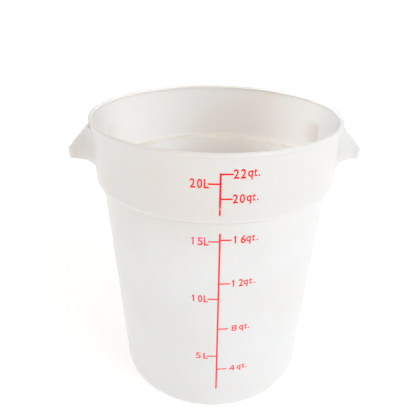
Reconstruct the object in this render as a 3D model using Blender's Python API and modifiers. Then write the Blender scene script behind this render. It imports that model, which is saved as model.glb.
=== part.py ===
"""Round food storage container: a tapered tub with a stepped shoulder, a beaded rim,
two hooded ears to lift it by, and a red scale printed on its front, in quarts and litres.

The origin is at the middle of the base, +Z is up, the ears lie on X and the scale faces -Y.
"""

import math

import bmesh
import bpy
from mathutils import Matrix

# Overall sizes of the tub, in metres
HEIGHT = 0.378
RIM_RADIUS = 0.1565
BASE_RADIUS = 0.1293

# Rim bead, how far it stands out from the band below it, and how far the band draws in
BEAD_WIDTH = 0.0047
BEAD_OVERHANG = 0.0013
BAND_DRAW = 0.0029

# Shoulder, where the band steps in to the lower wall, measured down from the rim
SHOULDER_DROP = 0.0815
SHOULDER_STEP = 0.0072
LEDGE_ROUND = 0.002

# Thickness of the moulding, its base corners and its foot ring
WALL = 0.0028
FLOOR = 0.0032
BASE_ROUND = 0.011
INNER_ROUND = 0.012
FOOT_HEIGHT = 0.0028
FOOT_WIDTH = 0.008

# Ears: hoods open below, with a flaring plan and a roof that slopes down, hung from the rim
EAR_OVERHANG = 0.027
EAR_UNDERSIDE_DROP = 0.0548
EAR_TIP_DROP = 0.0415
EAR_TOP_DROP = 0.011
EAR_ROOF_ANGLE = math.radians(47.7)
EAR_TIP_HALF_WIDTH = 0.0235
EAR_ROOT_HALF_WIDTH = 0.0515
EAR_FLANK_ANGLE = math.radians(57)
EAR_FLANK_BEND = 0.028
EAR_TIP_ROUND = 0.0045
EAR_ROOF_ROUND = 0.005

# Printed scale: its ink, its line and ticks, and its type
INK_THICKNESS = 0.00015
INK_GAP = 0.0003
LINE_WIDTH = 0.0021
LINE_LEAN = math.radians(0.35)
BAND_LINE_PLACE = -0.0016
WALL_LINE_PLACE = 0.0008
TICK_HEIGHT = 0.0018
TICK_LENGTH = 0.0117
DIGIT_HEIGHT = 0.0097
DIGIT_RAISE = 0.0002
UNIT_X_HEIGHT = 0.0062
UNIT_DROP = 0.0030

# How far a cutter or a root runs on past what it cuts or joins
OVERRUN = 0.010

# Ends of the line and its marks, as shares of the height of the wall that carries them
BAND_END_SHARES = (0.083, 0.769)
BAND_MARK_SHARES = {"22qt.": 0.751, "20L": 0.598, "20qt.": 0.357}
WALL_END_SHARES = (0.133, 0.957)
WALL_MARK_SHARES = {
    "16qt.": 0.928,
    "15L": 0.921,
    "12qt.": 0.727,
    "10L": 0.651,
    "8qt.": 0.493,
    "5L": 0.338,
    "4qt.": 0.259,
}

# Middles of a label's characters, from the end of its tick, as shares of the digits' height
QUART_TWENTY_SHARES = (0.28, 1.02, 1.74, 2.29, 2.71)
QUART_TEEN_SHARES = (0.38, 1.34, 1.93, 2.53, 3.02)
QUART_SINGLE_SHARES = (0.79, 1.69, 2.30, 2.72)
LITRE_TWENTY_SHARES = (-1.57, -0.82, -0.13)
LITRE_TEEN_SHARES = (-1.73, -0.87, -0.19)
LITRE_SINGLE_SHARES = (-1.09, -0.13)
LABEL_SHARES = {
    "22qt.": QUART_TWENTY_SHARES,
    "20qt.": QUART_TWENTY_SHARES,
    "16qt.": QUART_TEEN_SHARES,
    "12qt.": QUART_TEEN_SHARES,
    "8qt.": QUART_SINGLE_SHARES,
    "4qt.": QUART_SINGLE_SHARES,
    "20L": LITRE_TWENTY_SHARES,
    "15L": LITRE_TEEN_SHARES,
    "10L": LITRE_TEEN_SHARES,
    "5L": LITRE_SINGLE_SHARES,
}

# Letterforms, as shares of the type size, and how narrow the characters are drawn
CAPITAL_SHARE = 0.682
X_HEIGHT_SHARE = 0.449
TYPE_WEIGHT_SHARE = 0.022
SINGLE_WEIGHT_SHARE = 0.008
PAIR_WIDTH_SHARE = 0.80
SINGLE_WIDTH_SHARE = 0.95
WIDER_DIGIT_SHARES = {"5": 1.25, "6": 1.12, "8": 1.12}
UNIT_WIDTH_SHARES = {"q": 0.85, "t": 0.68, ".": 0.80}
ONE_SHARES = ((0.28, 0), (0.28, 0.69), (0.18, 0.69), (0.03, 0.58), (0.03, 0.44), (0.13, 0.52), (0.13, 0))
FOUR_SHARES = (
    (0.42, 0),
    (0.42, 0.17),
    (0.51, 0.17),
    (0.51, 0.28),
    (0.42, 0.28),
    (0.42, 0.69),
    (0.29, 0.69),
    (0, 0.29),
    (0, 0.17),
    (0.30, 0.17),
    (0.30, 0),
)
FOUR_COUNTER_SHARES = ((0.30, 0.28), (0.30, 0.53), (0.12, 0.28))
DRAWN_SHARES = {"1": (ONE_SHARES,), "4": (FOUR_SHARES, FOUR_COUNTER_SHARES)}
CHARACTER_NAMES = {"q": "q", "t": "t", ".": "stop", "L": "litre"}

# Counts of facets
TURN_STEPS = 80
ROUND_STEPS = 4
BEND_STEPS = 8
TICK_STEPS = 4
LETTER_STEPS = 3

# Distance within which the points of one mesh are made one
MERGE = 0.00001

# Colours and roughness
PLASTIC_COLOUR = (0.86, 0.85, 0.83)
PLASTIC_ROUGHNESS = 0.4
INK_COLOUR = (0.9, 0.03, 0.04)
INK_ROUGHNESS = 0.5

RIGHT_ANGLE = math.pi / 2

# Sizes that follow from the ones above
BAND_TOP_RADIUS = RIM_RADIUS - BEAD_OVERHANG
BAND_FOOT_RADIUS = BAND_TOP_RADIUS - BAND_DRAW
WALL_TOP_RADIUS = BAND_FOOT_RADIUS - SHOULDER_STEP
SHOULDER_LEVEL = HEIGHT - SHOULDER_DROP
BAND_FOOT = SHOULDER_LEVEL + SHOULDER_STEP
BEAD_RADIUS = BEAD_WIDTH / 2
BEAD_CENTRE = (RIM_RADIUS - BEAD_RADIUS, HEIGHT - BEAD_RADIUS)
FLOOR_LEVEL = FOOT_HEIGHT + FLOOR
TAPER = math.atan((WALL_TOP_RADIUS - BASE_RADIUS) / SHOULDER_LEVEL)
EAR_REACH = RIM_RADIUS + EAR_OVERHANG
EAR_UNDERSIDE = HEIGHT - EAR_UNDERSIDE_DROP
EAR_TIP_TOP = HEIGHT - EAR_TIP_DROP
EAR_TOP = HEIGHT - EAR_TOP_DROP
ROOF_SLOPE = math.tan(EAR_ROOF_ANGLE)


def bead_angle(radius):
    """Angle below the level of the bead's centre at which a wall of this radius meets it."""
    return math.acos(abs(radius - BEAD_CENTRE[0]) / BEAD_RADIUS)


BAND_TOP = BEAD_CENTRE[1] - BEAD_RADIUS * math.sin(bead_angle(BAND_TOP_RADIUS))


def band_radius(level):
    """Outer radius of the band at a height."""
    share = (level - BAND_FOOT) / (BAND_TOP - BAND_FOOT)
    return BAND_FOOT_RADIUS + share * (BAND_TOP_RADIUS - BAND_FOOT_RADIUS)


def wall_radius(level):
    """Outer radius of the lower wall at a height."""
    return BASE_RADIUS + level * math.tan(TAPER)


def inner_wall_radius(level):
    """Inner radius of the lower wall at a height."""
    return wall_radius(level) - WALL / math.cos(TAPER)


def arc(centre, radius, start, end, steps):
    """Points along an arc, both ends included."""
    angles = [start + (end - start) * i / steps for i in range(steps + 1)]
    return [(centre[0] + radius * math.cos(a), centre[1] + radius * math.sin(a)) for a in angles]


def corner_centre(radius_at, radius, level):
    """Centre of the round that joins a tapered wall to a level face."""
    height = level + radius
    return (radius_at(height) - radius / math.cos(TAPER), height)


def bead_outline():
    """The bead's outer line, from the band's inner face over the top to its outer face."""
    inner = math.pi + bead_angle(BAND_TOP_RADIUS - WALL)
    outer = -bead_angle(BAND_TOP_RADIUS)
    points = arc(BEAD_CENTRE, BEAD_RADIUS, inner, RIGHT_ANGLE, ROUND_STEPS)
    points += arc(BEAD_CENTRE, BEAD_RADIUS, RIGHT_ANGLE, 0, ROUND_STEPS - 1)[1:]
    points += arc(BEAD_CENTRE, BEAD_RADIUS, 0, outer, ROUND_STEPS - 2)[1:]
    return points


def tub_outline():
    """Half section: from the middle of the floor, up inside, over the bead and down outside."""
    shoulder_centre = (WALL_TOP_RADIUS, BAND_FOOT)
    ledge_level = SHOULDER_LEVEL + WALL
    ledge_centre = (inner_wall_radius(ledge_level) + LEDGE_ROUND, ledge_level - LEDGE_ROUND)
    inner_centre = corner_centre(inner_wall_radius, INNER_ROUND, FLOOR_LEVEL)
    base_centre = corner_centre(wall_radius, BASE_ROUND, 0)
    foot_inner = base_centre[0] - FOOT_WIDTH

    points = [(0, FLOOR_LEVEL)]
    points += arc(inner_centre, INNER_ROUND, -RIGHT_ANGLE, -TAPER, ROUND_STEPS)
    points += arc(ledge_centre, LEDGE_ROUND, math.pi, RIGHT_ANGLE, ROUND_STEPS)
    points += arc(shoulder_centre, SHOULDER_STEP - WALL, -RIGHT_ANGLE, 0, ROUND_STEPS)
    points += bead_outline()
    points += arc(shoulder_centre, SHOULDER_STEP, 0, -RIGHT_ANGLE, ROUND_STEPS)
    points += arc(base_centre, BASE_ROUND, -TAPER, -RIGHT_ANGLE, ROUND_STEPS)
    points += [(foot_inner, 0), (foot_inner - FOOT_HEIGHT, FOOT_HEIGHT), (0, FOOT_HEIGHT)]
    return points


def core_outline():
    """Half section of what the ears' roots are trimmed by: a cone down the middle of the band."""
    top = HEIGHT + OVERRUN
    foot = EAR_UNDERSIDE - OVERRUN
    return [
        (0, top),
        (band_radius(top) - WALL / 2, top),
        (band_radius(foot) - WALL / 2, foot),
        (0, foot),
    ]


def clear_scene():
    for item in list(bpy.data.objects):
        bpy.data.objects.remove(item, do_unlink=True)


def new_collection(name):
    collection = bpy.data.collections.new(name)
    bpy.context.scene.collection.children.link(collection)
    return collection


def new_material(name, colour, roughness):
    material = bpy.data.materials.new(name)
    material.use_nodes = True
    shader = material.node_tree.nodes["Principled BSDF"]
    shader.inputs["Base Color"].default_value = (*colour, 1)
    shader.inputs["Roughness"].default_value = roughness
    shader.inputs["Metallic"].default_value = 0
    return material


def new_object(name, data, collection):
    item = bpy.data.objects.new(name, data)
    collection.objects.link(item)
    return item


def new_helper(name, data, collection):
    """An object that shapes others and isn't part of the model."""
    item = new_object(name, data, collection)
    item.hide_render = True
    item.display_type = "WIRE"
    return item


def add_boolean(item, other, operation):
    modifier = item.modifiers.new(other.name, "BOOLEAN")
    modifier.object = other
    modifier.operation = operation
    modifier.solver = "EXACT"


def baked_mesh(item):
    """The mesh that an object comes to, its doubled points made one; the object is removed."""
    bpy.context.view_layer.update()
    evaluated = item.evaluated_get(bpy.context.evaluated_depsgraph_get())
    mesh = bpy.data.meshes.new_from_object(evaluated)
    mesh.name = item.name
    bpy.data.objects.remove(item)
    shape = bmesh.new()
    shape.from_mesh(mesh)
    bmesh.ops.remove_doubles(shape, verts=shape.verts, dist=MERGE)
    bmesh.ops.recalc_face_normals(shape, faces=shape.faces)
    shape.to_mesh(mesh)
    shape.free()
    return mesh


def turned_object(name, outline, collection):
    """A half section, given as (radius, height) down its outer side, turned about Z."""
    mesh = bpy.data.meshes.new(name)
    shape = bmesh.new()
    points = [shape.verts.new((radius, 0, height)) for radius, height in outline]
    for start, end in zip(points, points[1:]):
        shape.edges.new((start, end))
    shape.to_mesh(mesh)
    shape.free()
    item = new_helper(name, mesh, collection)
    screw = item.modifiers.new("turn", "SCREW")
    screw.steps = TURN_STEPS
    screw.render_steps = TURN_STEPS
    screw.use_merge_vertices = True
    screw.merge_threshold = MERGE
    return item


def plate_mesh(name, outlines, thickness, collection):
    """Flat outlines in XY, filled and given a thickness; an inner outline is a hole."""
    curve = bpy.data.curves.new(name, "CURVE")
    curve.dimensions = "2D"
    curve.fill_mode = "BOTH"
    curve.extrude = thickness / 2
    for outline in outlines:
        spline = curve.splines.new("POLY")
        spline.points.add(len(outline) - 1)
        for point, (across, up) in zip(spline.points, outline):
            point.co = (across, up, 0, 1)
        spline.use_cyclic_u = True
    return baked_mesh(new_helper(name, curve, collection))


def rounded_outline(corners):
    """An outline through corners of (place, radius, steps), each rounded by a tangent arc."""
    points = []
    for i, (here, radius, steps) in enumerate(corners):
        if radius <= 0:
            points.append(here)
            continue
        before = corners[i - 1][0]
        after = corners[(i + 1) % len(corners)][0]
        arrive = math.atan2(here[1] - before[1], here[0] - before[0])
        leave = math.atan2(after[1] - here[1], after[0] - here[0])
        turn = math.remainder(leave - arrive, 2 * math.pi)
        side = math.copysign(1, turn)
        run = radius * math.tan(abs(turn) / 2)
        centre = (
            here[0] - run * math.cos(arrive) - side * radius * math.sin(arrive),
            here[1] - run * math.sin(arrive) + side * radius * math.cos(arrive),
        )
        start = arrive - side * RIGHT_ANGLE
        points += arc(centre, radius, start, start + turn, steps)
    return points


def ear_plan(inset):
    """Outline of an ear seen from above, drawn in by an inset for its hollow."""
    root_radius = band_radius(EAR_TIP_TOP)
    root = (math.sqrt(root_radius**2 - EAR_ROOT_HALF_WIDTH**2), EAR_ROOT_HALF_WIDTH)
    sine = math.sin(EAR_FLANK_ANGLE)
    cosine = math.cos(EAR_FLANK_ANGLE)
    web = EAR_TIP_HALF_WIDTH - inset
    tip = EAR_REACH - inset
    bend = root[0] + ((root[1] - web) * cosine - inset) / sine
    room = EAR_REACH - EAR_TIP_ROUND - bend
    bend_round = min(EAR_FLANK_BEND + inset, room / math.tan(EAR_FLANK_ANGLE / 2))
    end = (root[0] - OVERRUN * cosine - inset * sine, root[1] + OVERRUN * sine - inset * cosine)
    back = end[0] - OVERRUN
    half = [
        ((tip, web), EAR_TIP_ROUND - inset, ROUND_STEPS),
        ((bend, web), bend_round, BEND_STEPS),
        (end, 0, 0),
        ((back, end[1]), 0, 0),
    ]
    other = [((x, -y), radius, steps) for (x, y), radius, steps in reversed(half)]
    return rounded_outline(half + other)


def ear_side(inset, foot):
    """Outline of an ear seen from the side, as (outwards, up), drawn in by an inset."""
    tip = EAR_REACH - inset
    tip_top = EAR_TIP_TOP + ROOF_SLOPE * inset - inset / math.cos(EAR_ROOF_ANGLE)
    top = EAR_TOP - inset
    roof_start = tip - (top - tip_top) / ROOF_SLOPE
    back = BAND_FOOT_RADIUS - EAR_ROOT_HALF_WIDTH
    corners = [
        ((back, foot), 0, 0),
        ((tip, foot), 0, 0),
        ((tip, tip_top), EAR_ROOF_ROUND - inset, ROUND_STEPS),
        ((roof_start, top), 0, 0),
        ((back, top), 0, 0),
    ]
    return rounded_outline(corners)


def ear_block(name, inset, foot, collection):
    """Solid where an ear's plan and its side view meet, drawn in by an inset."""
    plan = plate_mesh(name + "_plan", [ear_plan(inset)], 2 * HEIGHT, collection)
    side = plate_mesh(name + "_side", [ear_side(inset, foot)], 2 * RIM_RADIUS, collection)
    side.transform(Matrix.Rotation(RIGHT_ANGLE, 4, "X"))
    block = new_helper(name, plan, collection)
    add_boolean(block, new_helper(name + "_side", side, collection), "INTERSECT")
    return block


def ears_object(collection):
    """Both hoods, trimmed to end inside the band's wall."""
    ears = ear_block("ears", 0, EAR_UNDERSIDE, collection)
    hollow = ear_block("ears_hollow", WALL, EAR_UNDERSIDE - OVERRUN, collection)
    core = turned_object("ears_core", core_outline(), collection)
    add_boolean(ears, hollow, "DIFFERENCE")
    add_boolean(ears, core, "DIFFERENCE")
    mirror = ears.modifiers.new("other_ear", "MIRROR")
    mirror.use_axis = (True, False, False)
    mirror.merge_threshold = MERGE
    return ears


def add_tub(parts, helpers):
    """The one moulding: wall, floor, shoulder, rim bead, foot ring and both ears."""
    blank = turned_object("tub_blank", tub_outline(), helpers)
    add_boolean(blank, ears_object(helpers), "UNION")
    mesh = baked_mesh(blank)
    mesh.shade_smooth()
    mesh.set_sharp_from_angle(angle=RIGHT_ANGLE / 3)
    tub = new_object("tub", mesh, parts)
    mesh.materials.clear()
    mesh.materials.append(new_material("natural_plastic", PLASTIC_COLOUR, PLASTIC_ROUGHNESS))
    return tub


class Stretch:
    """A stretch of plain wall between two heights, with its part of the scale printed on it."""

    def __init__(self, name, low, high, radius_at, line_place):
        self.name = name
        self.low = low
        self.high = high
        self.radius_at = radius_at
        self.line_place = line_place

    def level(self, share):
        return self.low + share * (self.high - self.low)

    def print_on(self, mesh, level):
        """Bends a flat mesh, drawn as (along, up, out), onto the wall about a height."""
        for vertex in mesh.vertices:
            along, up, out = vertex.co
            height = level + up
            along += self.line_place + (self.level(1 / 2) - height) * math.tan(LINE_LEAN)
            angle = along / self.radius_at(height) - RIGHT_ANGLE
            radius = self.radius_at(height) + INK_GAP + INK_THICKNESS / 2 + out
            vertex.co = (radius * math.cos(angle), radius * math.sin(angle), height)


def add_ink(name, mesh, parts):
    mesh.materials.clear()
    mesh.materials.append(new_material(name + "_ink", INK_COLOUR, INK_ROUGHNESS))
    new_object(name, mesh, parts)


def line_side(levels, foot, top, side):
    """One side of the line, from its foot up, with a tick standing out at each level."""
    edge = side * LINE_WIDTH / 2
    reach = edge + side * TICK_LENGTH
    points = [(edge, foot)]
    for level in sorted(levels):
        low = level - TICK_HEIGHT / 2
        high = level + TICK_HEIGHT / 2
        points += [(edge, low), (reach, low), (reach, high), (edge, high)]
    points.append((edge, top))
    return points


def add_line(stretch, end_shares, marks, parts, helpers):
    """The upright line of a stretch, with quarts ticked to its right and litres to its left."""
    foot, top = [stretch.level(share) for share in end_shares]
    quarts = [level for label, level in marks.items() if label.endswith("qt.")]
    litres = [level for label, level in marks.items() if label.endswith("L")]
    outline = line_side(quarts, foot, top, 1) + line_side(litres, foot, top, -1)[::-1]
    mesh = plate_mesh(stretch.name, [outline], INK_THICKNESS, helpers)
    shape = bmesh.new()
    shape.from_mesh(mesh)
    for i in range(TICK_STEPS):
        for side in (-1, 1):
            place = side * (LINE_WIDTH / 2 + TICK_LENGTH * i / TICK_STEPS)
            everything = shape.verts[:] + shape.edges[:] + shape.faces[:]
            bmesh.ops.bisect_plane(
                shape, geom=everything, dist=MERGE, plane_co=(place, 0, 0), plane_no=(1, 0, 0)
            )
    shape.to_mesh(mesh)
    shape.free()
    stretch.print_on(mesh, 0)
    add_ink(stretch.name, mesh, parts)


def character_mesh(name, character, size, width_share, weight_share, helpers):
    """A character of a type size, flat in XY, its middle at x = 0 and its foot at y = 0."""
    thickness = INK_THICKNESS / size
    if character in DRAWN_SHARES:
        mesh = plate_mesh(name, DRAWN_SHARES[character], thickness, helpers)
    else:
        text = bpy.data.curves.new(name, "FONT")
        text.body = character
        text.extrude = thickness / 2
        text.offset = weight_share
        text.resolution_u = LETTER_STEPS
        mesh = baked_mesh(new_helper(name, text, helpers))
    places = [vertex.co.x for vertex in mesh.vertices]
    middle = (min(places) + max(places)) / 2
    drawn = Matrix.Diagonal((size * width_share, size, size, 1))
    mesh.transform(drawn @ Matrix.Translation((-middle, 0, 0)))
    return mesh


def add_label(stretch, label, level, parts, helpers):
    """The characters beside a mark, one printed piece each."""
    digits = sum(character.isdigit() for character in label)
    side = -1 if label.endswith("L") else 1
    tick_end = side * (LINE_WIDTH / 2 + TICK_LENGTH)
    for i, (character, share) in enumerate(zip(label, LABEL_SHARES[label])):
        single = digits == 1 and character.isdigit()
        weight_share = SINGLE_WEIGHT_SHARE if single else TYPE_WEIGHT_SHARE
        if character in UNIT_WIDTH_SHARES:
            size = UNIT_X_HEIGHT / X_HEIGHT_SHARE
            width_share = UNIT_WIDTH_SHARES[character]
            foot = -UNIT_DROP
        else:
            size = DIGIT_HEIGHT / CAPITAL_SHARE
            width_share = PAIR_WIDTH_SHARE if digits > 1 else SINGLE_WIDTH_SHARE
            if character in WIDER_DIGIT_SHARES:
                width_share *= WIDER_DIGIT_SHARES[character]
            foot = DIGIT_RAISE - DIGIT_HEIGHT / 2
        name = f"mark_{label.strip('.')}_" + CHARACTER_NAMES.get(character, f"digit_{i + 1}")
        mesh = character_mesh(name, character, size, width_share, weight_share, helpers)
        mesh.transform(Matrix.Translation((tick_end + share * DIGIT_HEIGHT, foot, 0)))
        stretch.print_on(mesh, level)
        add_ink(name, mesh, parts)


def add_scale(stretch, end_shares, mark_shares, parts, helpers):
    marks = {label: stretch.level(share) for label, share in mark_shares.items()}
    add_line(stretch, end_shares, marks, parts, helpers)
    for label, level in marks.items():
        add_label(stretch, label, level, parts, helpers)


def build():
    clear_scene()
    parts = new_collection("round_food_storage_container")
    helpers = new_collection("cutters")
    add_tub(parts, helpers)
    band = Stretch("scale_line_upper", BAND_FOOT, BAND_TOP, band_radius, BAND_LINE_PLACE)
    wall = Stretch("scale_line_lower", 0, SHOULDER_LEVEL, wall_radius, WALL_LINE_PLACE)
    add_scale(band, BAND_END_SHARES, BAND_MARK_SHARES, parts, helpers)
    add_scale(wall, WALL_END_SHARES, WALL_MARK_SHARES, parts, helpers)


build()
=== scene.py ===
# %% [markdown]
# # A round food storage container
#
# The real object is a tub for a professional kitchen: one injection moulding in milky plastic, with
# a stepped shoulder, a beaded rim, two hollow ears to lift it by, and a red measuring scale printed
# on its front. The CAD model has the right shape but plain facets and flat colours. This lesson
# keeps its sizes and gives it a finer surface, a plastic that light passes through, printed ink,
# a studio and the photograph's camera.

# %% Load the CAD model as a fixed frame
import math

import bmesh
import bpy
from mathutils import Matrix, Vector


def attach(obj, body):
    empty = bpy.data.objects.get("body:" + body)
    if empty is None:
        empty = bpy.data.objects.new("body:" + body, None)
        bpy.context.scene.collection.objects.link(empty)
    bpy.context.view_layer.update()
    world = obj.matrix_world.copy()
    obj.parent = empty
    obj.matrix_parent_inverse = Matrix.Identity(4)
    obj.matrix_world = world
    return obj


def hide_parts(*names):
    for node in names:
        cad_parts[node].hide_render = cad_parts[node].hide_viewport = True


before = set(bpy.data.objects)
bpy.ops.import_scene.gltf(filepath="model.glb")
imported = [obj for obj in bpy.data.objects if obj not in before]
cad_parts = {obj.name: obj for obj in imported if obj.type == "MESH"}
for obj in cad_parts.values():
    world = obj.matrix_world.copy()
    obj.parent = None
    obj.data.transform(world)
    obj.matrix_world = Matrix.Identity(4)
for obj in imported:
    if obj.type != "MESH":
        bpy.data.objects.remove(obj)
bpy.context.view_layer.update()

MM = 0.001
print("CAD nodes:", len(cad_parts))

# %% [markdown]
# ## The camera
#
# The tub is seen from a little above its rim, slightly turned, through a lens close to a phone's
# "normal" one. Four things fix such a view: where the camera stands, where it looks, how long its
# lens is and how much it was tilted in the hand. They were worked out from the ellipses of the rim
# and the shoulder, whose flatness gives the height, and from how fast the walls draw together
# downwards, which gives the distance. The photograph is square, so one sensor width does for both
# sides.

# %% Place the camera
PHOTO_PIXELS = 418
SENSOR = 36.0
FOCAL_PIXELS = 465.97
NEAREST = 10 * MM
CAMERA_PLACE = Vector((-28.88, -577.10, 530.54)) * MM
CAMERA_HEADING = math.radians(2.203)
CAMERA_PITCH = math.radians(26.662)
CAMERA_ROLL = math.radians(0.976)

lens = bpy.data.cameras.new("photo_camera")
lens.sensor_width = SENSOR
lens.lens = SENSOR * FOCAL_PIXELS / PHOTO_PIXELS
lens.clip_start = NEAREST
camera = bpy.data.objects.new("photo_camera", lens)
bpy.context.scene.collection.objects.link(camera)
turn = Matrix.Rotation(-CAMERA_HEADING, 4, "Z")
turn @= Matrix.Rotation(math.pi / 2 - CAMERA_PITCH, 4, "X")
turn @= Matrix.Rotation(CAMERA_ROLL, 4, "Z")
camera.matrix_world = Matrix.Translation(CAMERA_PLACE) @ turn
bpy.context.scene.camera = camera
print("lens, mm:", round(lens.lens, 2))

# %% [markdown]
# ## The wall as a turned section
#
# A moulded tub is a solid of revolution with a wall of even thickness, so half a section says
# everything about it. The section is drawn as straight runs between corners, the way a drawing
# gives it, and each corner carries the radius that the mould has there. Beveling a corner point of
# a wire does the rounding, so no arc has to be worked out by hand. A corner is bevelled by the
# length of its tangents, which is the radius times the tangent of half the turn.

# %% Sizes of the section
HEIGHT = 378 * MM
RIM_RADIUS = 156.5 * MM
BEAD_WIDTH = 4.7 * MM
BEAD_HEIGHT = 4.5 * MM
BEAD_NECK = 0.7 * MM
BAND_TOP_RADIUS = 155.2 * MM
BAND_FOOT_RADIUS = 152.3 * MM
SHOULDER_LEVEL = 296.5 * MM
CREASE_ROOM = 0.6 * MM
CREASE_ROUND = 0.55 * MM
WALL_TOP_RADIUS = 145.1 * MM
BASE_RADIUS = 129.3 * MM
BASE_ROUND = 11 * MM
BASE_ROUND_REACH = 10.4 * MM
INNER_ROUND = 12 * MM
WALL = 2.8 * MM
FLOOR = 3.2 * MM
FOOT_HEIGHT = 2.8 * MM
FOOT_WIDTH = 8 * MM

BEAD_FOOT = HEIGHT - BEAD_HEIGHT
BEAD_ROUND = 0.499 * BEAD_WIDTH
SHOULDER_ROUND = BAND_FOOT_RADIUS - WALL_TOP_RADIUS
BAND_FOOT = SHOULDER_LEVEL + SHOULDER_ROUND
LEDGE = SHOULDER_LEVEL + WALL
FLOOR_LEVEL = FOOT_HEIGHT + FLOOR
FOOT_INNER = BASE_RADIUS - BASE_ROUND_REACH - FOOT_WIDTH
TAPER = math.atan((WALL_TOP_RADIUS - BASE_RADIUS) / SHOULDER_LEVEL)


def wall_radius(level):
    """Outer radius of the lower wall at a height."""
    return BASE_RADIUS + level * math.tan(TAPER)


def band_radius(level):
    """Outer radius of the upper band at a height."""
    share = (level - BAND_FOOT) / (BEAD_FOOT - BAND_FOOT)
    return BAND_FOOT_RADIUS + share * (BAND_TOP_RADIUS - BAND_FOOT_RADIUS)


print("taper, degrees:", round(math.degrees(TAPER), 2))

# %% Corners of the section, from the middle of the floor round to the middle of the underside
SECTION = [
    # radius, height, rounding, steps
    (0, FLOOR_LEVEL, 0, 0),
    (wall_radius(FLOOR_LEVEL) - WALL, FLOOR_LEVEL, INNER_ROUND, 10),
    (wall_radius(LEDGE) - WALL, LEDGE, 2 * MM, 5),
    (BAND_FOOT_RADIUS - WALL, LEDGE, SHOULDER_ROUND - WALL, 8),
    (BAND_TOP_RADIUS - WALL, BEAD_FOOT, 0.5 * MM, 2),
    (RIM_RADIUS - BEAD_WIDTH, BEAD_FOOT + BEAD_NECK, 0.4 * MM, 2),
    (RIM_RADIUS - BEAD_WIDTH, HEIGHT, BEAD_ROUND, 8),
    (RIM_RADIUS, HEIGHT, BEAD_ROUND, 8),
    (RIM_RADIUS, BEAD_FOOT, 0.9 * MM, 4),
    (BAND_TOP_RADIUS, BEAD_FOOT, 0.35 * MM, 3),
    (BAND_FOOT_RADIUS, SHOULDER_LEVEL, SHOULDER_ROUND - CREASE_ROOM, 12),
    (WALL_TOP_RADIUS, SHOULDER_LEVEL, CREASE_ROUND, 3),
    (BASE_RADIUS, 0, BASE_ROUND, 12),
    (FOOT_INNER, 0, 0.8 * MM, 3),
    (FOOT_INNER - FOOT_HEIGHT, FOOT_HEIGHT, 0.8 * MM, 3),
    (0, FOOT_HEIGHT, 0, 0),
]


def round_corners(mesh, points, rows):
    """Rounds the points of a wire or an outline; a row ends with a rounding and its steps."""
    for point, (_, _, rounding, steps) in zip(points, rows):
        if rounding == 0:
            continue
        before, after = [edge.other_vert(point).co - point.co for edge in point.link_edges]
        turning = math.pi - before.angle(after)
        bmesh.ops.bevel(
            mesh,
            geom=[point],
            offset=rounding * math.tan(turning / 2),
            offset_type="OFFSET",
            segments=steps,
            profile=0.5,
            affect="VERTICES",
            material=-1,
        )


section = bmesh.new()
points = [section.verts.new((radius, 0, height)) for radius, height, _, _ in SECTION]
for start, end in zip(points, points[1:]):
    section.edges.new((start, end))
round_corners(section, points, SECTION)
print("points in the section:", len(section.verts))

# %% [markdown]
# The long straight runs are cut into short ones before the turn. Without that, each facet of the
# wall would be a sliver a hand long, and the ears, which are joined on below, would leave their
# edge in the middle of it and spoil its shading.

# %% Turn the section about its axis
TURN_STEPS = 256
RUN = 12 * MM
MERGE = 0.01 * MM

for edge in [edge for edge in section.edges if edge.calc_length() > 2 * RUN]:
    bmesh.ops.subdivide_edges(section, edges=[edge], cuts=int(edge.calc_length() / RUN))
bmesh.ops.spin(
    section,
    geom=section.verts[:] + section.edges[:],
    cent=(0, 0, 0),
    axis=(0, 0, 1),
    angle=2 * math.pi,
    steps=TURN_STEPS,
    use_merge=True,
)
bmesh.ops.remove_doubles(section, verts=section.verts, dist=MERGE)
bmesh.ops.recalc_face_normals(section, faces=section.faces)
wall_mesh = bpy.data.meshes.new("tub_wall")
section.to_mesh(wall_mesh)
section.free()
print("faces in the turned wall:", len(wall_mesh.polygons))

# %% [markdown]
# ## The ears
#
# Each ear is a hollow hood, open below, so that fingers reach up into it. Seen from above it
# flares from a square tip into the wall; seen from the side it has a roof that falls away from
# the rim. So it is made as a bar with the plan's outline, standing upright, that is sliced off
# along the roof. The same steps with a smaller plan make the hollow.

# %% The plan of an ear
EAR_REACH = 183.5 * MM
EAR_UNDERSIDE = 323.2 * MM
EAR_TIP_TOP = 336.5 * MM
EAR_TOP = 367 * MM
EAR_ROOF_ANGLE = math.radians(47.7)
EAR_TIP_HALF_WIDTH = 23.5 * MM
EAR_TIP_ROUND = 4.5 * MM
EAR_ROOT_HALF_WIDTH = 51.5 * MM
EAR_FLANK_ANGLE = math.radians(57)
EAR_FLANK_BEND = 28 * MM
OVERRUN = 10 * MM


def ear_outline(inset):
    """Corners of half an ear's plan as (x, y, rounding, steps), drawn in by an inset."""
    root_radius = band_radius(EAR_TIP_TOP)
    root_x = math.sqrt(root_radius**2 - EAR_ROOT_HALF_WIDTH**2)
    sine = math.sin(EAR_FLANK_ANGLE)
    cosine = math.cos(EAR_FLANK_ANGLE)
    web = EAR_TIP_HALF_WIDTH - inset
    bend = root_x + ((EAR_ROOT_HALF_WIDTH - web) * cosine - inset) / sine
    end_x = root_x - OVERRUN * cosine - inset * sine
    end_y = EAR_ROOT_HALF_WIDTH + OVERRUN * sine - inset * cosine
    return [
        (EAR_REACH - inset, web, EAR_TIP_ROUND - inset, 6),
        (bend, web, EAR_FLANK_BEND + inset, 16),
        (end_x, end_y, 0, 0),
        (end_x - OVERRUN, end_y, 0, 0),
    ]


print("half an ear's plan, mm:", [[round(n / MM, 1) for n in row[:2]] for row in ear_outline(0)])

# %% A bar with that plan, sliced off along the roof
SLICE_MARGIN = 0.001 * MM


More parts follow.
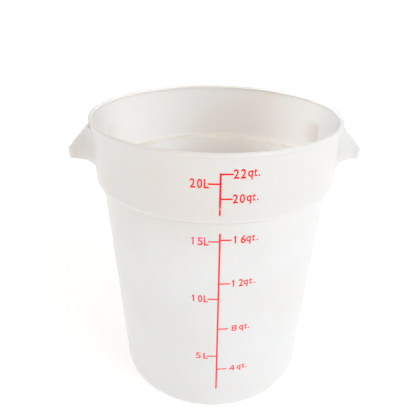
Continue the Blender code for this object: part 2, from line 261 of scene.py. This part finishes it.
def sliced_bar(inset, foot):
    """A closed bar that stands upright on a foot level and ends at the ear's roof."""
    half = ear_outline(inset)
    corners = half + [(x, -y, rounding, steps) for x, y, rounding, steps in reversed(half)]
    bar = bmesh.new()
    points = [bar.verts.new((x, y, foot)) for x, y, _, _ in corners]
    bar.faces.new(points)
    round_corners(bar, points, corners)
    pulled = bmesh.ops.extrude_face_region(bar, geom=bar.faces[:])["geom"]
    raised = [item for item in pulled if isinstance(item, bmesh.types.BMVert)]
    bmesh.ops.translate(bar, verts=raised, vec=(0, 0, EAR_TOP - inset - foot))
    slope = Vector((math.sin(EAR_ROOF_ANGLE), 0, math.cos(EAR_ROOF_ANGLE)))
    cut = bmesh.ops.bisect_plane(
        bar,
        geom=bar.verts[:] + bar.edges[:] + bar.faces[:],
        dist=SLICE_MARGIN,
        plane_co=Vector((EAR_REACH, 0, EAR_TIP_TOP)) - slope * inset,
        plane_no=slope,
        clear_outer=True,
    )
    rim = [item for item in cut["geom_cut"] if isinstance(item, bmesh.types.BMEdge)]
    bmesh.ops.holes_fill(bar, edges=rim)
    bmesh.ops.recalc_face_normals(bar, faces=bar.faces)
    return bar


print("bar helper ready")

# %% Round the bar's edges outside the wall, for a hood and for its hollow
CORNER_ANGLE = math.radians(20)
OUTER_EDGE_ROUND = 1.8 * MM
OUTER_FOOT_ROUND = 1.2 * MM
INNER_EDGE_ROUND = 1.0 * MM


def round_edges(shape, edges, rounding):
    """Gives edges of a shape a round of four steps."""
    bmesh.ops.bevel(
        shape,
        geom=edges,
        offset=rounding,
        offset_type="OFFSET",
        segments=4,
        profile=0.5,
        affect="EDGES",
        clamp_overlap=True,
        material=-1,
    )


def hood(inset, foot, edge_round, foot_round):
    """A sliced bar with soft edges; those of its foot stay sharp if their rounding is 0."""
    shape = sliced_bar(inset, foot)
    outside = [e for e in shape.edges if max(v.co.x for v in e.verts) > BAND_FOOT_RADIUS]
    sharp = [e for e in outside if e.calc_face_angle(0) > CORNER_ANGLE]
    above_foot = foot + 1 * MM
    lower = [e for e in sharp if max(v.co.z for v in e.verts) < above_foot]
    upper = [e for e in sharp if min(v.co.z for v in e.verts) > above_foot]
    round_edges(shape, upper, edge_round)
    if foot_round > 0:
        round_edges(shape, [e for e in lower if e.is_valid], foot_round)
    bmesh.ops.recalc_face_normals(shape, faces=shape.faces)
    return shape


outer_hood = hood(0, EAR_UNDERSIDE, OUTER_EDGE_ROUND, OUTER_FOOT_ROUND)
inner_hood = hood(WALL, EAR_UNDERSIDE - OVERRUN, INNER_EDGE_ROUND, 0)
print("faces in a hood:", len(outer_hood.faces))

# %% [markdown]
# The hood has to lose what would stick through into the tub. A cone as wide as the middle of the
# wall trims it: the hood's root then ends inside the wall's thickness, and the union of the two
# is one closed skin, as the moulding is.

# %% Helpers for the Booleans
def as_object(name, shape):
    """A bmesh as an object of its own."""
    mesh = bpy.data.meshes.new(name)
    shape.to_mesh(mesh)
    shape.free()
    item = bpy.data.objects.new(name, mesh)
    bpy.context.scene.collection.objects.link(item)
    return item


def trimming_core():
    """A cone down the middle of the band's wall, over the height of the ears."""
    foot = EAR_UNDERSIDE - 2 * OVERRUN
    top = HEIGHT + OVERRUN
    shape = bmesh.new()
    bmesh.ops.create_cone(
        shape,
        cap_ends=True,
        segments=TURN_STEPS,
        radius1=band_radius(foot) - WALL / 2,
        radius2=band_radius(top) - WALL / 2,
        depth=top - foot,
        matrix=Matrix.Translation((0, 0, (top + foot) / 2)),
    )
    return shape


def combine(item, other, operation):
    """Joins another object to an item, or cuts it away, as a modifier."""
    modifier = item.modifiers.new(other.name, "BOOLEAN")
    modifier.object = other
    modifier.operation = operation
    modifier.solver = "EXACT"


def settle(item):
    """Puts an object's modifiers into its mesh."""
    bpy.context.view_layer.update()
    evaluated = item.evaluated_get(bpy.context.evaluated_depsgraph_get())
    mesh = bpy.data.meshes.new_from_object(evaluated)
    item.modifiers.clear()
    item.data = mesh


print("helpers ready")

# %% Hollow and trim the right hood, and mirror it to the left
hoods = as_object("hoods", outer_hood)
hollow = as_object("hollow", inner_hood)
core = as_object("core", trimming_core())
combine(hoods, hollow, "DIFFERENCE")
combine(hoods, core, "DIFFERENCE")
settle(hoods)

both = bmesh.new()
both.from_mesh(hoods.data)
bmesh.ops.mirror(both, geom=both.verts[:] + both.edges[:] + both.faces[:], axis="X", merge_dist=0)
bmesh.ops.remove_doubles(both, verts=both.verts, dist=MERGE)
bmesh.ops.recalc_face_normals(both, faces=both.faces)
both.to_mesh(hoods.data)
both.free()
print("faces in both hoods:", len(hoods.data.polygons))

# %% Join the hoods to the wall
SMOOTH_ANGLE = math.radians(35)

tub = bpy.data.objects.new("milky_tub", wall_mesh)
bpy.context.scene.collection.objects.link(tub)
combine(tub, hoods, "UNION")
settle(tub)
for helper in (hoods, hollow, core):
    bpy.data.objects.remove(helper)

shape = bmesh.new()
shape.from_mesh(tub.data)
bmesh.ops.remove_doubles(shape, verts=shape.verts, dist=MERGE)
open_edges = sum(not edge.is_manifold for edge in shape.edges)
shape.to_mesh(tub.data)
shape.free()
tub.data.shade_smooth()
tub.data.set_sharp_from_angle(angle=SMOOTH_ANGLE)
print("faces in the tub:", len(tub.data.polygons), "open edges:", open_edges)

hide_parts("tub")
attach(tub, "root")

# %% [markdown]
# ## Shader maths as plain sums
#
# A material here is a small calculation that runs at every point of a surface. Blender writes it
# as nodes and wires. The class below wraps an output socket, so that a sum such as 1 - mask adds
# its own Math node, and one method makes any other node from its settings and its inputs.

# %% A socket that can be added, multiplied and fed on
def connect(tree, slot, value):
    """Feeds an input from a wire, or sets it to a plain value."""
    if isinstance(value, Wire):
        tree.links.new(value.socket, slot)
    else:
        slot.default_value = value


class Wire:
    """An output socket of a shader tree, with arithmetic on values."""

    def __init__(self, socket):
        self.socket = socket
        self.tree = socket.id_data

    @classmethod
    def node(cls, tree, kind, output, settings=None, **inputs):
        """An output of any node: settings come first, then inputs, named with _ for a space."""
        made = tree.nodes.new("ShaderNode" + kind)
        for name, value in (settings or {}).items():
            if name == "stops":
                # a new ramp has two stops, and no ramp here needs more
                for element, (position, colour) in zip(made.color_ramp.elements, value):
                    element.position = position
                    element.color = colour
            else:
                setattr(made, name, value)
        for name, value in inputs.items():
            wanted = name.replace("_", " ")
            slots = [slot for slot in made.inputs if slot.name == wanted and slot.enabled]
            connect(tree, slots[0], value)
        return cls(made.outputs[output])

    def beside(self, output):
        """Another output of the same node."""
        return Wire(self.socket.node.outputs[output])

    def math(self, operation, *values):
        """A Math node on values, for what has no operator."""
        made = self.tree.nodes.new("ShaderNodeMath")
        made.operation = operation
        for slot, value in zip(made.inputs, values):
            connect(self.tree, slot, value)
        return Wire(made.outputs[0])

    def __add__(self, other):
        return self.math("ADD", self, other)

    def __radd__(self, other):
        return self.math("ADD", other, self)

    def __sub__(self, other):
        return self.math("SUBTRACT", self, other)

    def __rsub__(self, other):
        return self.math("SUBTRACT", other, self)

    def __mul__(self, other):
        return self.math("MULTIPLY", self, other)

    def __rmul__(self, other):
        return self.math("MULTIPLY", other, self)

    def __truediv__(self, other):
        return self.math("DIVIDE", self, other)

    def __rtruediv__(self, other):
        return self.math("DIVIDE", other, self)

    def __pow__(self, other):
        return self.math("POWER", self, other)

    def __rpow__(self, other):
        return self.math("POWER", other, self)


print("socket class ready")

# %% New materials, and the place of a surface point
def new_material(name):
    """A material with nothing but its Principled shader, and that shader."""
    material = bpy.data.materials.new(name)
    material.use_nodes = True
    return material, material.node_tree.nodes["Principled BSDF"]


def set_inputs(shader, **values):
    """Sets a shader's own sockets to plain values, named with _ for a space."""
    for name, value in values.items():
        shader.inputs[name.replace("_", " ")].default_value = value


def surface_point(tree):
    """A surface point's place in the object, whole and as its x, y and z."""
    place = Wire.node(tree, "TexCoord", "Object")
    x = Wire.node(tree, "SeparateXYZ", "X", Vector=place)
    return place, (x, x.beside("Y"), x.beside("Z"))


print("material helpers ready")

# %% Masks with soft edges, and tints
def ramp_up(value, low, high):
    """0 below one value, 1 above another and smooth between."""
    return Wire.node(
        value.tree,
        "MapRange",
        "Result",
        {"interpolation_type": "SMOOTHSTEP"},
        Value=value,
        From_Min=low,
        From_Max=high,
    )


def between(value, rise, fall):
    """1 between two soft edges; each is given as where it starts and where it ends."""
    return ramp_up(value, *rise) * (1 - ramp_up(value, *fall))


def near(point, centre, reach):
    """1 at a centre, fading to 0 at a distance from it."""
    squares = [(wire - value) ** 2 for wire, value in zip(point, centre)]
    return 1 - ramp_up(squares[0] + squares[1] + squares[2], 0, reach**2)


def tinted(colour, share, tint):
    """A colour wire with a share of a tint mixed in."""
    return Wire.node(
        colour.tree,
        "Mix",
        "Result",
        {"data_type": "RGBA"},
        Factor=share,
        A=colour,
        B=(*tint, 1),
    )


print("mask helpers ready")

# %% [markdown]
# ## The milky plastic
#
# Natural polyethylene has no pigment: light enters it, scatters off tiny crystals and leaves
# again some millimetres away, warmer than it came. Subsurface scattering does the same: it
# softens the edges, and some light comes through the thin wall. On top lies a satin skin from the
# mould, slightly uneven, with faint upright marks from being stacked and washed.

# %% Start the plastic with its uneven tone and its marks
WARMER_TONE = (0.80, 0.793, 0.78, 1)
LIGHTER_TONE = (0.84, 0.84, 0.838, 1)
UPRIGHT = (1, 1, 0.06)

plastic, skin = new_material("milky_plastic")
tree = plastic.node_tree
place, point = surface_point(tree)
x, y, z = point
clouds = Wire.node(tree, "TexNoise", "Fac", Vector=place, Scale=9.0, Detail=3.0, Roughness=0.5)
stretched = Wire.node(tree, "Mapping", "Vector", Vector=place, Scale=UPRIGHT)
marks = Wire.node(tree, "TexNoise", "Fac", Vector=stretched, Scale=220.0, Detail=2.0)
stops = [(0.3, WARMER_TONE), (0.7, LIGHTER_TONE)]
colour = Wire.node(tree, "ValToRGB", "Color", {"stops": stops}, Fac=clouds)
print("nodes in the plastic so far:", len(tree.nodes))

# %% [markdown]
# Painted shade: soft darker and warmer tints stand in for light and shade on the tub. The band is
# painted a little darker than the wall, and some places are painted warmer and darker as shade: a
# few wide patches outside on the left, away from the lamp, the middle of the inside as far as a
# slanting edge at its left, and the left half of the rim. The ledge inside the shoulder and the
# crease outside it are painted darker, as the shade of a corner. The wall is darker too behind the
# flank of each ear, because the hood keeps the light off it there. Each of these is a soft mask on
# the place of a point, and mixes a tint into the colour.

# %% Tint the band and the warmer places with painted shade
BAND_SHADE_TINT = (0.785, 0.781, 0.774)
LEFT_SHADE_TINT = (0.78, 0.735, 0.70)
INSIDE_SHADE_TINT = (0.77, 0.735, 0.71)
RIM_SHADE_TINT = (0.76, 0.715, 0.69)
BAND_FADE = 6 * MM
LEFT_SHADE_PLACES = [
    # middle, reach, share
    ((-45 * MM, -150 * MM, 330 * MM), 90 * MM, 0.5),
    ((-172 * MM, -10 * MM, 325 * MM), 60 * MM, 0.8),
    ((-128 * MM, -76 * MM, 290 * MM), 75 * MM, 0.4),
]
INSIDE_MIDDLE = (70 * MM, 130 * MM, 315 * MM)
INSIDE_REACH = 150 * MM
INSIDE_LEFT_EDGE = (-125 * MM, -35 * MM)
INSIDE_RIGHT_EDGE = (72 * MM, 118 * MM)
SLANT = 1.86
BEAD_RISE = (BEAD_FOOT + 1 * MM, BEAD_FOOT + 3 * MM)
LEFT_HALF_EDGE = (-60 * MM, 90 * MM)

# Painted shade: the band is painted a little darker than the wall.
on_band = ramp_up(z, SHOULDER_LEVEL - BAND_FADE, BAND_FOOT + BAND_FADE)
colour = tinted(colour, 0.9 * on_band, BAND_SHADE_TINT)
# Painted shade: warm, darker patches on the left side, away from the lamp, and on the left ear.
for centre, reach, share in LEFT_SHADE_PLACES:
    colour = tinted(colour, share * near(point, centre, reach), LEFT_SHADE_TINT)

# Painted shade: the middle of the inside, where little light falls, is painted warmer and darker as
# far as a slanting edge at its left.
past_slant = ramp_up(x - SLANT * (z - LEDGE), *INSIDE_LEFT_EDGE)
short_of_right = 1 - 0.7 * ramp_up(x, *INSIDE_RIGHT_EDGE)
shaded_inside = near(point, INSIDE_MIDDLE, INSIDE_REACH) * past_slant * short_of_right
colour = tinted(colour, 0.9 * shaded_inside, INSIDE_SHADE_TINT)

# Painted shade: the left half of the bead, away from the lamp, is painted warmer and darker.
on_bead = ramp_up(z, *BEAD_RISE)
left_half = 1 - ramp_up(x, *LEFT_HALF_EDGE)
colour = tinted(colour, 0.6 * on_bead * left_half, RIM_SHADE_TINT)
print("nodes in the plastic so far:", len(tree.nodes))

# %% Paint shade on the ledge inside the shoulder and in the crease outside it
LEDGE_SHADE_TINT = (0.67, 0.65, 0.585)
CREASE_SHADE_TINT = (0.66, 0.65, 0.63)
LEDGE_RISE = (LEDGE - 2.5 * MM, LEDGE - 1 * MM)
LEDGE_FALL = (LEDGE + 1 * MM, LEDGE + 3 * MM)
LEDGE_INNER = WALL_TOP_RADIUS + 4 * MM
LEDGE_OUTER = BAND_FOOT_RADIUS - 2 * MM
CREASE_RISE = (SHOULDER_LEVEL - 0.3 * MM, SHOULDER_LEVEL + 0.7 * MM)
CREASE_FALL = (SHOULDER_LEVEL + 2.4 * MM, SHOULDER_LEVEL + 4.4 * MM)
OUTER_SKIN = (143 * MM, 144 * MM)

squared_radius = x * x + y * y


def beyond(low, high):
    """0 within one radius of the tub's axis, 1 beyond another and smooth between."""
    return ramp_up(squared_radius, low**2, high**2)


# Painted shade: the ledge, a corner inside the shoulder, is painted darker.
on_ledge = between(z, LEDGE_RISE, LEDGE_FALL) * (1 - beyond(LEDGE_INNER, LEDGE_OUTER))
colour = tinted(colour, on_ledge, LEDGE_SHADE_TINT)
# Painted shade: the crease under the band is painted darker, more so on the left.
in_crease = between(z, CREASE_RISE, CREASE_FALL) * beyond(*OUTER_SKIN)
colour = tinted(colour, (0.4 + 0.6 * left_half) * in_crease, CREASE_SHADE_TINT)
print("nodes in the plastic so far:", len(tree.nodes))

# %% Darken the inside behind the flanks of the ears, more at the right one
SHADE_TINT = (0.66, 0.60, 0.56)
SHADE_START = math.radians(16.6)
# radians either side of the start
SHADE_EDGE = 0.006
SHADE_RISE = (314 * MM, 324 * MM)
SHADE_FALL = (340 * MM, 354 * MM)
INNER_SKIN = (151.6 * MM, 152.8 * MM)
SIDE_FADE = 10 * MM

around = x.math("ARCTAN2", y, x.math("ABSOLUTE", x))
shade_edge = (SHADE_START - SHADE_EDGE, SHADE_START + SHADE_EDGE)
behind_flank = between(around, shade_edge, (SHADE_START, 2 * SHADE_START))
in_shade = behind_flank * between(z, SHADE_RISE, SHADE_FALL) * (1 - beyond(*INNER_SKIN))
side_share = 0.2 + 0.6 * ramp_up(x, -SIDE_FADE, SIDE_FADE)
colour = tinted(colour, side_share * in_shade, SHADE_TINT)
print("nodes in the plastic so far:", len(tree.nodes))

# %% Finish the plastic and give it to the tub
connect(tree, skin.inputs["Base Color"], colour)
connect(tree, skin.inputs["Roughness"], 0.26 + 0.12 * marks)
peel = Wire.node(tree, "TexNoise", "Fac", Vector=place, Scale=420.0, Detail=2.0)
bump = Wire.node(
    tree, "Bump", "Normal", Strength=0.12, Distance=0.4 * MM, Height=peel + 0.5 * marks
)
connect(tree, skin.inputs["Normal"], bump)
skin.subsurface_method = "RANDOM_WALK"
set_inputs(
    skin,
    Subsurface_Weight=0.9,
    Subsurface_Radius=(1.0, 0.86, 0.72),
    Subsurface_Scale=5 * MM,
    IOR=1.5,
    Coat_Weight=0.3,
    Coat_Roughness=0.08,
    Specular_IOR_Level=0.25,
)
tub.data.materials.clear()
tub.data.materials.append(plastic)
print("nodes in the plastic:", len(tree.nodes))

# %% [markdown]
# ## The printed scale
#
# Each stroke of the scale is a thin plate of ink in the CAD model, already bent round the wall.
# Its shape is right, so the CAD pieces stay and get a better material. Screen ink lies unevenly:
# it is dense where the squeegee pressed and lets the white wall through elsewhere. On this tub it
# is a full red near the rim and gets thinner downwards, one label is pinker, and the upper line
# is worn through in one place. A faint red emission, a painted glow, makes the ink brighter.

# %% Mix the ink
FULL_RED = (1, 0.006, 0.01, 1)
THIN_RED = (1, 0.055, 0.068, 1)
PINK = (1, 0.13, 0.25)
WORN_PINK = (0.95, 0.45, 0.50)
PAINTED_GLOW = (1, 0.01, 0.02, 1)
FULL_HEIGHT_SHARE = 0.95
THIN_HEIGHT_SHARE = 0.62
LABEL_EDGE = (-10 * MM, 2 * MM)
LABEL_RISE = (268 * MM, 273 * MM)
LABEL_FALL = (290 * MM, 294 * MM)
WORN_RISE = (315.8 * MM, 316.6 * MM)
WORN_FALL = (317.8 * MM, 318.6 * MM)

ink, film = new_material("red_ink")
tree = ink.node_tree
place, (x, _, z) = surface_point(tree)
patches = Wire.node(tree, "TexNoise", "Fac", Vector=place, Scale=120.0, Detail=3.0)
thin = Wire.node(
    tree,
    "MapRange",
    "Result",
    Value=z / HEIGHT + 0.12 * patches,
    From_Min=FULL_HEIGHT_SHARE,
    From_Max=THIN_HEIGHT_SHARE,
)
colour = Wire.node(
    tree, "ValToRGB", "Color", {"stops": [(0.0, FULL_RED), (1.0, THIN_RED)]}, Fac=thin
)
pink_label = (1 - ramp_up(x, *LABEL_EDGE)) * between(z, LABEL_RISE, LABEL_FALL)
colour = tinted(colour, 0.8 * pink_label, PINK)
colour = tinted(colour, 0.6 * between(z, WORN_RISE, WORN_FALL), WORN_PINK)
connect(tree, film.inputs["Base Color"], colour)
connect(tree, film.inputs["Roughness"], 0.38 + 0.2 * patches)
# Painted glow: a faint red emission makes the ink brighter than the lamps alone would.
set_inputs(film, Specular_IOR_Level=0.15, Emission_Color=PAINTED_GLOW, Emission_Strength=0.12)
print("nodes in the ink:", len(tree.nodes))

# %% [markdown]
# The plates stand a hair off the wall, so that each is a solid of its own. A print can't throw a
# shadow on what it is printed on, so the plates are told to cast none and to be left out of the
# light that bounces between surfaces.

# %% Give the ink to every printed piece
printed = [node for name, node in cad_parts.items() if name != "tub"]
for node in printed:
    node.visible_shadow = False
    node.visible_diffuse = False
    for slot in node.material_slots:
        slot.link = "OBJECT"
        slot.material = ink
print("printed pieces:", len(printed))

# %% [markdown]
# ## Floor, light and sky
#
# The photograph has an even white ground and soft light that comes mostly from the right: the
# right side of the tub is nearly white and the left side a shade darker. A large lamp on the
# right gives that, and a pale sky, warmer on the left, fills the rest. The sky alone can't keep
# the ground white, so the floor shines a little itself. In the real tub much light reaches the
# inside through the wall. Three narrow beams, aimed down into the mouth, stand in for it: a small
# spread keeps each of them off the outside.

# %% Lay the floor
FLOOR_HALF = 6
FLOOR_GREY = (0.84, 0.84, 0.84, 1)
WHITE = (1, 1, 1, 1)

floor_shape = bmesh.new()
bmesh.ops.create_grid(floor_shape, x_segments=1, y_segments=1, size=FLOOR_HALF)
floor = as_object("floor", floor_shape)
ground, ground_shader = new_material("pale_floor")
set_inputs(
    ground_shader,
    Base_Color=FLOOR_GREY,
    Roughness=0.9,
    Specular_IOR_Level=0.1,
    Emission_Color=WHITE,
    Emission_Strength=0.38,
)
floor.data.materials.append(ground)
print("floor laid")

# %% Hang the lamps
LAMPS = [
    # name, place, what it points at, width, spread in degrees, power, colour
    ("lamp_right", (1.1, -1.1, 1.1), (0, 0, 0.2), 1.0, 180, 4.8, (0.96, 0.98, 1)),
    ("beam_left", (-0.42, -0.22, 0.95), (0.135, 0.045, 0.33), 0.2, 16, 0.080, (0.97, 0.985, 1)),
    ("beam_right", (0.38, -0.32, 0.95), (-0.12, 0.075, 0.33), 0.2, 16, 0.058, (0.97, 0.985, 1)),
    ("beam_middle", (0.02, -0.36, 1.00), (0.02, 0.13, 0.33), 0.2, 16, 0.016, (0.97, 0.985, 1)),
]

for name, place, aim, width, spread, power, light_colour in LAMPS:
    data = bpy.data.lights.new(name, "AREA")
    data.shape = "SQUARE"
    data.size = width
    data.spread = math.radians(spread)
    data.energy = power
    data.color = light_colour
    lamp = bpy.data.objects.new(name, data)
    bpy.context.scene.collection.objects.link(lamp)
    lamp.location = place
    lamp.rotation_euler = (Vector(aim) - Vector(place)).to_track_quat("-Z", "Y").to_euler()

# %% Paint the sky
WARM_SIDE = (1, 0.978, 0.952, 1)
COOL_SIDE = (0.985, 0.995, 1, 1)
SKY_LIGHT = 0.757
MORE_AT_RIGHT = 0.082
MORE_TO_THE_EYE = 0.42

sky = bpy.data.worlds.new("sky")
sky.use_nodes = True
tree = sky.node_tree
backdrop = tree.nodes["Background"]
towards = Wire.node(tree, "TexCoord", "Generated")
rightness = Wire.node(tree, "SeparateXYZ", "X", Vector=towards)
sky_colour = Wire.node(
    tree,
    "Mix",
    "Result",
    {"data_type": "RGBA"},
    Factor=0.5 + 0.5 * rightness,
    A=WARM_SIDE,
    B=COOL_SIDE,
)
seen = Wire.node(tree, "LightPath", "Is Camera Ray")
connect(tree, backdrop.inputs["Color"], sky_colour)
strength = SKY_LIGHT + MORE_AT_RIGHT * rightness + MORE_TO_THE_EYE * seen
connect(tree, backdrop.inputs["Strength"], strength)
bpy.context.scene.world = sky
bpy.context.scene.view_settings.view_transform = "Standard"
print("nodes in the sky:", len(tree.nodes))
